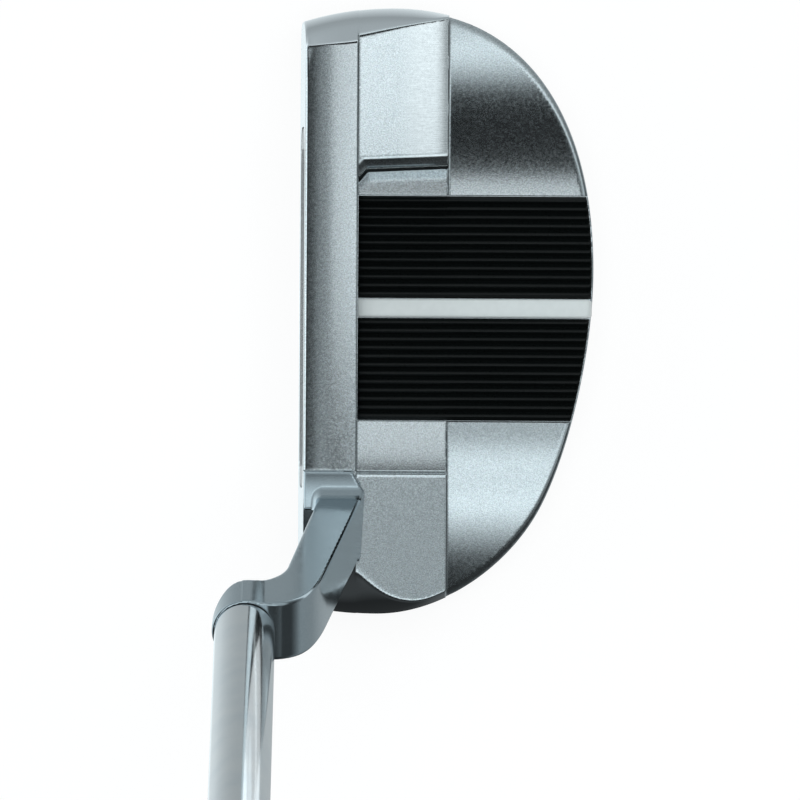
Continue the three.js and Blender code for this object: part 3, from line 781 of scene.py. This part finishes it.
BUTT_S = -NECK_N * math.tan(LEAN) + CLUB_LENGTH
GRIP_BOTTOM_S = BUTT_S - GRIP_LENGTH
GRIP_TOP_S = BUTT_S - CAP_THICKNESS
SHAFT_BOTTOM_S = ARM_TOP_S + JOINT_GAP + 0.3
BORE_R = SHAFT_BUTT_R + 0.55


def shaft_tube():
    """The stepped steel tube: each step is a short ramp to a slightly larger radius."""
    rise = (SHAFT_BUTT_R - SHAFT_TIP_R) / SHAFT_STEP_COUNT
    ramp = 1.4
    ease_in = 0.12
    top = GRIP_TOP_S - JOINT_GAP
    first_step = SHAFT_BOTTOM_S + SHAFT_PARALLEL_TIP
    last_step = first_step + (SHAFT_STEP_COUNT - 1) * SHAFT_STEP_PITCH
    outside = [(SHAFT_TIP_R - ease_in, SHAFT_BOTTOM_S), (SHAFT_TIP_R, SHAFT_BOTTOM_S + ease_in)]
    outside += [(SHAFT_TIP_R, s) for s in np.arange(SHAFT_BOTTOM_S + 6, SHAFT_BOTTOM_S + 180, 6)]
    for i in range(SHAFT_STEP_COUNT):
        s = first_step + i * SHAFT_STEP_PITCH
        radius = SHAFT_TIP_R + i * rise
        for t in np.linspace(0, 1, 7):
            outside.append((radius + rise * float(ease(t)), s + ramp * t))
        outside.append((radius + rise, s + SHAFT_STEP_PITCH / 2))
    outside.append((SHAFT_BUTT_R, top))
    inside = [
        (SHAFT_BUTT_R - SHAFT_WALL, top),
        (SHAFT_BUTT_R - SHAFT_WALL, last_step),
        (SHAFT_TIP_R - SHAFT_WALL, first_step),
        (SHAFT_TIP_R - SHAFT_WALL, SHAFT_BOTTOM_S),
    ]
    return turned_piece("chrome_shaft", outside + inside)


def epoxy_bead():
    """The adhesive between the spigot and the shaft, with the bead that shows under the shaft."""
    inner = SPIGOT_R + 0.08
    outer = SHAFT_TIP_R - SHAFT_WALL - 0.08
    bottom = ARM_TOP_S + 0.12
    lip = SHAFT_TIP_R - 0.1
    middle = (bottom + SHAFT_BOTTOM_S) / 2
    return turned_piece("epoxy_collar", [
        (inner, bottom),
        (lip - 0.1, bottom),
        (lip, middle),
        (lip - 0.1, SHAFT_BOTTOM_S - 0.05),
        (outer, SHAFT_BOTTOM_S - 0.05),
        (outer, ARM_TOP_S + SPIGOT_LENGTH - 1),
        (inner, ARM_TOP_S + SPIGOT_LENGTH - 1),
    ])


def half_width(along):
    """Half the grip's width, from its mouth (0) to its butt (1)."""
    return np.interp(
        along,
        np.linspace(0, 1, 11),
        [10.0, 10.45, 11.0, 11.45, 11.85, 12.2, 12.5, 12.85, 13.25, 13.35, 13.0],
    )


def back_stretch(along):
    """How much fuller than a half circle the grip's back is."""
    return 1 + 0.32 * ease((along - 0.35) / 0.6)


def grip_ring(s, inset, relief=None):
    """The grip's section at s: flat in front, full behind. `relief` raises its surface."""
    along = min(max((s - GRIP_BOTTOM_S) / GRIP_LENGTH, 0), 1)
    turn = np.linspace(0, 2 * math.pi, GRIP_SEGMENTS, endpoint=False)
    radius = float(half_width(along)) - inset
    x = radius * np.cos(turn)
    n = radius * np.sin(turn)
    flat = GRIP_FLAT + 0.6 * along - inset
    soft = 0.9
    clipped = np.minimum(n, flat)
    near = np.clip((n - flat + soft) / (2 * soft), 0, 1)
    clipped = np.where(n > flat - soft, np.minimum(clipped, flat - soft * (1 - near) ** 2), clipped)
    n = np.where(n < 0, n * back_stretch(along), clipped)
    if relief is not None:
        scale = relief(turn, s)
        length = np.hypot(x, n)
        x = x * (1 + scale / length)
        n = n * (1 + scale / length)
    return np.stack([AXIS_X + x, NECK_N + n, np.full(GRIP_SEGMENTS, s)], 1)


def grip_relief(turn, s):
    """Moulded tread: slanted grooves round the sides and back, level ones on the front flat."""
    along = (s - GRIP_BOTTOM_S) / GRIP_LENGTH
    on_front = ease((np.sin(turn) - 0.62) / 0.1)
    fade = ease((along - 0.05) / 0.03) * ease((0.955 - along) / 0.03)
    arc = turn * 12.0
    slant_a = np.abs(((arc + s) / 5.2) % 1 - 0.5)
    slant_b = np.abs(((arc - s) / 5.2) % 1 - 0.5)
    diamonds = -0.28 * (1 - ease(np.minimum(slant_a, slant_b) / 0.14))
    level = np.abs((s / 4.0) % 1 - 0.5)
    bars = -0.3 * (1 - ease((level - 0.02) / 0.12))
    inner = ease((np.sin(turn) - 0.8) / 0.06)
    border = ease(np.abs(np.sin(turn) - 0.62) / 0.06)
    return fade * ((1 - on_front) * diamonds * border + inner * bars)


def grip_skin():
    """The grip's outer skin, hollow for the tube under it."""
    start = GRIP_BOTTOM_S + MOUTH_RING_LENGTH + 0.2
    end = GRIP_TOP_S - 0.2
    rings = [grip_ring(s, 0, grip_relief) for s in np.linspace(start, end, 330)]
    rings += [grip_ring(s, WRAP_THICKNESS) for s in np.linspace(end, start, 12)]
    return crisp(loft("grip_sleeve", rings, closed=True), 60)


def mouth_ring():
    """The collar at the grip's lower end, with a groove round it."""
    start = GRIP_BOTTOM_S
    end = start + MOUTH_RING_LENGTH
    outer = float(half_width(0))
    inner = outer - WRAP_THICKNESS
    edge = 0.8
    floor = 1.3
    groove = 0.35
    points = [(BORE_R, start), (outer - edge, start)]
    for t in np.linspace(0.3, math.pi / 2, 5):
        points.append((outer - edge + edge * math.sin(t), start + edge - edge * math.cos(t)))
    points += [(outer, start + 2.0), (outer - groove, start + 2.3), (outer - groove, start + 2.8)]
    points += [(outer, start + 3.1), (outer + 0.1, end - 0.3), (outer - 0.15, end)]
    points += [(inner, end), (inner, start + floor), (BORE_R, start + floor)]
    return turned_piece("grip_mouth_collar", points, GRIP_SEGMENTS)


def butt_cap():
    """The cap at the butt, with its plug, a ring groove and the vent hole."""
    edge = 1.5
    plug_end = GRIP_TOP_S - CAP_PLUG_LENGTH
    plug = ((VENT_R, plug_end), (CAP_PLUG_R, plug_end), (CAP_PLUG_R, GRIP_TOP_S))
    vent = ((VENT_R + 0.3, BUTT_S - 0.05), (VENT_R, BUTT_S - 0.35))
    rings = [round_ring(radius, s, GRIP_SEGMENTS) for radius, s in plug]
    rings.append(grip_ring(GRIP_TOP_S + 0.02, 0))
    for t in np.linspace(0, math.pi / 2, 7):
        rings.append(grip_ring(BUTT_S - edge + edge * math.sin(t), edge * (1 - math.cos(t))))
    for inset, drop in ((3.2, 0.0), (3.6, 0.35), (4.2, 0.35), (4.6, 0.0), (7.5, 0.0), (10.2, 0.05)):
        rings.append(grip_ring(BUTT_S - drop, inset))
    rings += [round_ring(radius, s, GRIP_SEGMENTS) for radius, s in vent]
    return crisp(loft("grip_end_cap", rings, closed=True))


# ---- head, neck and insert

head_points, head_quads, head_normals = skin(head_solid, HEAD_LINES)
head = make_object("head_casting", head_points, head_quads, head_normals)
points, quads, normals = skin(neck_solid, NECK_LINES)
neck = make_object("neck_casting", from_shaft_frame(points), quads, from_shaft_frame(normals))
insert = make_object("face_insert_grooved", *skin(insert_solid, INSERT_LINES))

# ---- materials


class Nodes:
    """Writes nodes into a shader tree."""

    def __init__(self, tree):
        self.tree = tree

    def put(self, socket, value):
        if isinstance(value, bpy.types.NodeSocket):
            self.tree.links.new(value, socket)
        else:
            socket.default_value = value

    def node(self, kind, **inputs):
        node = self.tree.nodes.new(kind)
        for name, value in inputs.items():
            self.put(node.inputs[name.replace("_", " ")], value)
        return node

    def math(self, operation, a, b=0.0):
        node = self.node("ShaderNodeMath")
        node.operation = operation
        self.put(node.inputs[0], a)
        self.put(node.inputs[1], b)
        return node.outputs[0]

    def mix(self, a, share_a, b, share_b):
        return self.math("ADD", self.math("MULTIPLY", a, share_a), self.math("MULTIPLY", b, share_b))

    def blend(self, factor, a, b, kind="MIX"):
        """Two colours, or nodes, mixed."""
        node = self.node("ShaderNodeMix")
        node.data_type = "RGBA"
        node.blend_type = kind
        self.put(node.inputs[0], factor)
        for socket, value in ((node.inputs[6], a), (node.inputs[7], b)):
            if isinstance(value, tuple):
                value = (*value, 1)
            self.put(socket, value)
        return node.outputs[2]


class Look(Nodes):
    """A procedural material built round one Principled shader."""

    def __init__(self, name, color, roughness, metallic=0.0, **settings):
        self.material = bpy.data.materials.new(name)
        self.material.use_nodes = True
        super().__init__(self.material.node_tree)
        self.shader = self.tree.nodes["Principled BSDF"]
        self.shader.inputs["Base Color"].default_value = (*color, 1)
        self.shader.inputs["Roughness"].default_value = roughness
        self.shader.inputs["Metallic"].default_value = metallic
        for socket, value in settings.items():
            self.shader.inputs[socket.replace("_", " ")].default_value = value
        self.place = self.node("ShaderNodeTexCoord").outputs["Object"]

    def noise(self, size_mm, stretch=(1, 1, 1), detail=2.0, lean=0.0, color=False):
        """Noise whose features are about size_mm across."""
        spread = self.node("ShaderNodeMapping", Vector=self.place)
        spread.vector_type = "POINT"
        self.put(spread.inputs["Rotation"], (lean, 0, 0))
        self.put(spread.inputs["Scale"], tuple(1 / (size_mm * MM * v) for v in stretch))
        node = self.node("ShaderNodeTexNoise", Vector=spread.outputs[0], Scale=1.0, Detail=detail)
        return node.outputs["Color" if color else "Fac"]

    def remap(self, value, low, high, span=(0.3, 0.7)):
        """Noise, whose values mostly lie in the span, brought between low and high."""
        node = self.node("ShaderNodeMapRange", Value=value)
        for name, number in zip(("From Min", "From Max", "To Min", "To Max"), (*span, low, high)):
            node.inputs[name].default_value = number
        return node.outputs[0]

    def between(self, noise, dark, light, span=(0.3, 0.7)):
        """A colour that wanders between two."""
        return self.blend(self.remap(noise, 0.0, 1.0, span), dark, light)

    def mask(self, name):
        """A value kept on the mesh itself."""
        node = self.node("ShaderNodeAttribute")
        node.attribute_name = name
        return node.outputs["Fac"]

    def bump(self, height, strength, distance_mm):
        node = self.node("ShaderNodeBump", Height=height, Strength=strength)
        node.inputs["Distance"].default_value = distance_mm * MM
        return node.outputs[0]

    def finish(self, color=None, roughness=None, normal=None):
        for socket, value in (("Base Color", color), ("Roughness", roughness), ("Normal", normal)):
            if value is not None:
                self.put(self.shader.inputs[socket], value)
        return self.material


def cast_steel():
    """Bead-blasted steel; polished at the rolled ends and finely brushed where the masks say so."""
    look = Look("blasted_steel", (0.8, 0.8, 0.8), 0.17, 1.0)
    polished = look.mask("polished")
    brushed = look.mask("brushed")
    grain = look.noise(0.22, detail=1.0)
    coarse = look.noise(0.5, detail=2.0)
    tint = look.noise(0.3, color=True)
    lines = look.noise(0.16, stretch=(14, 1, 1), detail=1.0)
    both = look.mix(grain, 0.7, coarse, 0.3)

    tinted = look.blend(0.10, (0.82, 0.89, 0.92), tint)
    sparkle = look.remap(both, 0.70, 1.0, (0.36, 0.64))
    blasted = look.blend(1.0, tinted, sparkle, "MULTIPLY")
    streak = look.remap(lines, 0.86, 1.0)
    brushed_color = look.blend(1.0, (0.88, 0.93, 0.95), streak, "MULTIPLY")
    color = look.blend(brushed, blasted, brushed_color)
    color = look.blend(polished, color, (0.80, 0.84, 0.87))

    rough = look.remap(coarse, 0.13, 0.18)
    rough = look.math("ADD", rough, look.math("MULTIPLY", brushed, 0.03))
    rough = look.math("ADD", rough, look.math("MULTIPLY", polished, -0.05))
    plain = look.math("SUBTRACT", 1.0, look.math("MAXIMUM", polished, brushed))
    fine = look.math("MULTIPLY", look.math("SUBTRACT", both, 0.5), plain)
    normal = look.bump(look.math("ADD", fine, 0.5), 0.25, 0.015)
    return look.finish(color, rough, normal)


def neck_steel():
    """Polished steel with a faint grain along the post."""
    look = Look("satin_steel", (0.59, 0.68, 0.72), 0.14, 1.0)
    lines = look.noise(0.14, stretch=(1, 1, 30), detail=2.0, lean=-LEAN)
    cloud = look.noise(3.0, detail=3.0)
    color = look.between(lines, (0.45, 0.53, 0.575), (0.53, 0.605, 0.645), (0.35, 0.65))
    rough = look.remap(cloud, 0.11, 0.18)
    return look.finish(color, rough, look.bump(lines, 0.12, 0.01))


def chrome():
    """Chrome plate, faintly drawn along the shaft."""
    look = Look("shaft_chrome", (0.86, 0.89, 0.91), 0.06, 1.0)
    cloud = look.noise(6.0, detail=4.0)
    lines = look.noise(0.2, stretch=(1, 1, 60), lean=-LEAN)
    color = look.between(cloud, (0.82, 0.86, 0.89), (0.90, 0.92, 0.93))
    return look.finish(color, look.remap(lines, 0.09, 0.14))


def rib_plastic():
    """Black moulded plastic."""
    look = Look("rib_black", (0.002, 0.003, 0.003), 0.32, Specular_IOR_Level=0.3)
    grain = look.noise(0.25, detail=3.0)
    color = look.between(grain, (0.001, 0.0016, 0.0016), (0.003, 0.0046, 0.0044))
    return look.finish(color, look.remap(grain, 0.26, 0.38), look.bump(grain, 0.3, 0.02))


def white_paint():
    """Thick white paint with a slight orange peel."""
    look = Look("sight_white", (0.8, 0.81, 0.81), 0.35, Coat_Weight=0.2, Coat_Roughness=0.2)
    cloud = look.noise(1.5, detail=3.0)
    peel = look.noise(0.6, detail=1.0)
    color = look.between(cloud, (0.78, 0.81, 0.80), (0.82, 0.85, 0.84))
    return look.finish(color, look.remap(peel, 0.3, 0.42), look.bump(peel, 0.15, 0.01))


def matt_look(name, dark, light, roughness, grain_mm, relief_mm):
    """A material whose colour and surface vary with one grain."""
    middle = tuple((a + b) / 2 for a, b in zip(dark, light))
    look = Look(name, middle, roughness)
    grain = look.noise(grain_mm, detail=4.0)
    rough = look.remap(grain, roughness - 0.06, roughness + 0.06)
    return look.finish(look.between(grain, dark, light), rough, look.bump(grain, 0.4, relief_mm))


# A dark and a light colour, the roughness, and the grain's size and relief in millimetres
MATT_LOOKS = {
    "insert_polymer": ((0.016, 0.017, 0.018), (0.03, 0.031, 0.033), 0.2, 0.3, 0.004),
    "bond_tape": ((0.2, 0.2, 0.21), (0.33, 0.33, 0.34), 0.9, 0.5, 0.05),
    "epoxy": ((0.008, 0.008, 0.009), (0.02, 0.02, 0.021), 0.4, 0.4, 0.02),
    "grip_skin": ((0.007, 0.0075, 0.008), (0.016, 0.0165, 0.017), 0.62, 0.35, 0.05),
    "grip_core": ((0.02, 0.02, 0.021), (0.035, 0.035, 0.037), 0.9, 0.6, 0.05),
    "cap_rubber": ((0.009, 0.0095, 0.01), (0.018, 0.0185, 0.019), 0.55, 0.4, 0.04),
    "paper_tape": ((0.55, 0.5, 0.4), (0.66, 0.6, 0.5), 0.9, 0.8, 0.03),
}

LOOKS = {
    "blasted_steel": cast_steel(),
    "satin_steel": neck_steel(),
    "shaft_chrome": chrome(),
    "rib_black": rib_plastic(),
    "sight_white": white_paint(),
}
for name, values in MATT_LOOKS.items():
    LOOKS[name] = matt_look(name, *values)


def add_masks(obj, points, quads):
    """Where the head is polished or brushed, one value per face corner."""
    towards = points[quads].mean(1, keepdims=True)
    x, y, z = (points[quads] * 0.6 + towards * 0.4).reshape(-1, 3).T
    off_roll = np.abs(end_rolls(x, y, z, plan(x, y)))
    polished = (1 - ease((off_roll - 0.10) / 0.12)) * (z > 4) * (x < BLOCK_BACK_X + 0.1)
    on_toe_pad = (z > PAD_Z - 1.2) * (y > TOE_PAD_EDGE_Y - 1) * (x > BAND_BACK_X)
    brushed = on_toe_pad * ease((x + 9.5) / 6.0) * (1 - polished)
    for name, values in (("polished", polished), ("brushed", brushed)):
        layer = obj.data.attributes.new(name, "FLOAT", "CORNER")
        layer.data.foreach_set("value", values.astype(np.float32))


add_masks(head, head_points, head_quads)

PIECES = (
    (head, "blasted_steel", "head_body"),
    (neck, "satin_steel", "neck"),
    (insert, "insert_polymer", "face_insert"),
    (rib_panel("toe_rib_panel", 1), "rib_black", "toe_rib_panel"),
    (rib_panel("heel_rib_panel", -1), "rib_black", "heel_rib_panel"),
    (sight_line(), "sight_white", "sight_bar"),
    (shaft_tube(), "shaft_chrome", "shaft"),
    (epoxy_bead(), "epoxy", "shaft_epoxy"),
    (grip_skin(), "grip_skin", "grip_wrap"),
    (mouth_ring(), "cap_rubber", "grip_mouth_ring"),
    (butt_cap(), "cap_rubber", "grip_butt_cap"),
)
for piece, finish, node in PIECES:
    piece.data.materials.append(LOOKS[finish])
    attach(piece, "root")
    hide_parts(node)

KEPT_NODES = {
    "face_insert_tape": "bond_tape",
    "toe_panel_tape": "bond_tape",
    "heel_panel_tape": "bond_tape",
    "sight_bar_tape": "bond_tape",
    "neck_bond": "epoxy",
    "grip_underlisting": "grip_core",
    "grip_tape": "paper_tape",
}
for node, finish in KEPT_NODES.items():
    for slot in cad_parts[node].material_slots:
        slot.material = LOOKS[finish]

# ---- studio


# The room's brightness on each side of the club, at angles from straight up, in degrees
ROOM = {
    "heel side": ((0, 0.4), (5, 0.7), (10, 0.4), (15, 1.2), (20, 1.0), (25, 1.35), (30, 0.6),
                  (35, 0.05), (42, 0.02), (85, 0.05), (105, 0.05), (125, 0.02), (180, 0.03)),
    "toe side": ((0, 0.4), (5, 0.02), (30, 0.01), (34, 0.75), (38, 1.25), (44, 0.6), (65, 0.4),
                 (115, 0.42), (137, 0.36), (143, 0.45), (180, 0.9)),
    "face side": ((0, 0.4), (5, 0.08), (10, 0.02), (15, 0.33), (20, 0.04), (44, 0.01), (56, 1.0),
                  (70, 1.5), (100, 1.3), (125, 0.6), (140, 0.5), (154, 0.72), (165, 0.75),
                  (173, 1.1), (180, 1.3)),
    "rear side": ((0, 0.4), (5, 0.15), (12, 0.2), (20, 0.45), (45, 0.5), (52, 0.08), (75, 0.06),
                  (90, 0.2), (105, 0.4), (140, 0.35), (180, 0.5)),
}


class Room(Nodes):
    """The brightness of the surroundings, written into the world's tree."""

    def __init__(self, tree):
        super().__init__(tree)
        direction = self.node("ShaderNodeTexCoord").outputs["Generated"]
        self.dx, self.dy, dz = self.node("ShaderNodeSeparateXYZ", Vector=direction).outputs
        self.off_zenith = self.math("DIVIDE", self.math("ARCCOSINE", dz), math.pi)

    def side(self, name):
        """One side's brightness, read from its profile."""
        ramp = self.node("ShaderNodeValToRGB", Fac=self.off_zenith)
        ramp.label = name
        stops = ramp.color_ramp.elements
        for i, (angle, level) in enumerate(ROOM[name]):
            place = angle / 180
            if i < 2:
                stop = stops[i]
                stop.position = place
            else:
                stop = stops.new(place)
            stop.color = (level, level, level, 1)
        return ramp.outputs[0]

    def pick(self, negative, positive, axis):
        """One of two opposite sides, by the sign of an axis."""
        ahead = self.math("GREATER_THAN", axis, 0.0)
        behind = self.math("SUBTRACT", 1.0, ahead)
        return self.mix(self.side(positive), ahead, self.side(negative), behind)

    def level(self):
        """The sides together: the more squarely a direction points at one, the more it counts."""
        along_x = self.pick("face side", "rear side", self.dx)
        along_y = self.pick("heel side", "toe side", self.dy)
        xx = self.math("MULTIPLY", self.dx, self.dx)
        yy = self.math("MULTIPLY", self.dy, self.dy)
        never_zero = 1e-6
        share = self.math("DIVIDE", xx, self.math("ADD", self.math("ADD", xx, yy), never_zero))
        # Between face and heel the room stays dark until close to the face side.
        at_face = self.math("LESS_THAN", self.dx, 0.0)
        at_heel = self.math("LESS_THAN", self.dy, 0.0)
        darker = self.math("MULTIPLY", self.math("MULTIPLY", at_face, at_heel), 4.0)
        share = self.math("POWER", share, self.math("ADD", 1.0, darker))
        return self.mix(along_x, share, along_y, self.math("SUBTRACT", 1.0, share))


def set_up_world():
    """Soft boxes and dark cards round the club, which the camera sees as plain white."""
    world = bpy.data.worlds.new("studio")
    world.use_nodes = True
    bpy.context.scene.world = world
    world.node_tree.nodes.clear()
    room = Room(world.node_tree)
    color = room.blend(1.0, room.level(), (0.91, 1.0, 1.03), "MULTIPLY")
    lit = room.node("ShaderNodeBackground", Color=color)
    pale = room.node("ShaderNodeBackground", Color=(1, 1, 1, 1))
    seen = room.node("ShaderNodeLightPath").outputs["Is Camera Ray"]
    choose = room.node("ShaderNodeMixShader")
    for socket, value in zip(choose.inputs, (seen, lit.outputs[0], pale.outputs[0])):
        room.put(socket, value)
    room.node("ShaderNodeOutputWorld", Surface=choose.outputs[0])


def set_up_floor():
    """A plain pale floor."""
    half = 60.0
    mesh = bpy.data.meshes.new("floor")
    corners = [(-half, -half, 0), (half, -half, 0), (half, half, 0), (-half, half, 0)]
    mesh.from_pydata(corners, [], [(0, 1, 2, 3)])
    floor = bpy.data.objects.new("floor", mesh)
    bpy.context.scene.collection.objects.link(floor)
    look = Look("pale_floor", (0.14, 0.14, 0.14), 0.9, Specular_IOR_Level=0.0)
    cloud = look.noise(400.0, detail=2.0)
    color = look.between(cloud, (0.13, 0.13, 0.13), (0.15, 0.15, 0.15))
    look.shader.inputs["Emission Color"].default_value = (1, 1, 1, 1)
    look.shader.inputs["Emission Strength"].default_value = 0.9
    mesh.materials.append(look.finish(color))
    floor.visible_glossy = False


LIGHT_TINT = (0.94, 1.0, 1.02)


def light_panel(name, place, size, power, glossy=True, upward=False):
    """A level rectangular panel that stays out of the camera's view."""
    data = bpy.data.lights.new(name, "AREA")
    data.shape = "RECTANGLE"
    data.size, data.size_y = size
    data.energy = power
    data.color = LIGHT_TINT
    panel = bpy.data.objects.new(name, data)
    panel.location = place
    panel.rotation_euler = (math.pi if upward else 0, 0, 0)
    panel.visible_camera = False
    panel.visible_glossy = glossy
    bpy.context.scene.collection.objects.link(panel)


def set_up_lights():
    """
    A large overhead panel for the matt surfaces, a soft box close above the toe, and a small card
    over the head that the shaft's near side mirrors.
    """
    light_panel("overhead_panel", (0.2, 0.1, 2.1), (1.6, 1.6), 20.0, glossy=False)
    light_panel("soft_box", (-0.028, 0.066, 0.6), (0.212, 0.152), 0.077)
    light_panel("shaft_card", (-0.001, -0.016, 0.062), (0.040, 0.048), 0.0034, upward=True)


def set_up_camera():
    """Straight down on the head from well above, so that it is seen almost flat."""
    data = bpy.data.cameras.new("camera")
    data.sensor_width = 36.0
    data.lens = 673.4
    data.clip_start = 0.1
    data.clip_end = 200.0
    camera = bpy.data.objects.new("camera", data)
    camera.location = Vector((-7.8, -15.9, 2600.0)) * MM
    camera.rotation_euler = (0, 0, math.radians(0.35))
    bpy.context.scene.collection.objects.link(camera)
    bpy.context.scene.camera = camera


set_up_world()
set_up_floor()
set_up_lights()
set_up_camera()
bpy.context.scene.view_settings.view_transform = "Standard"
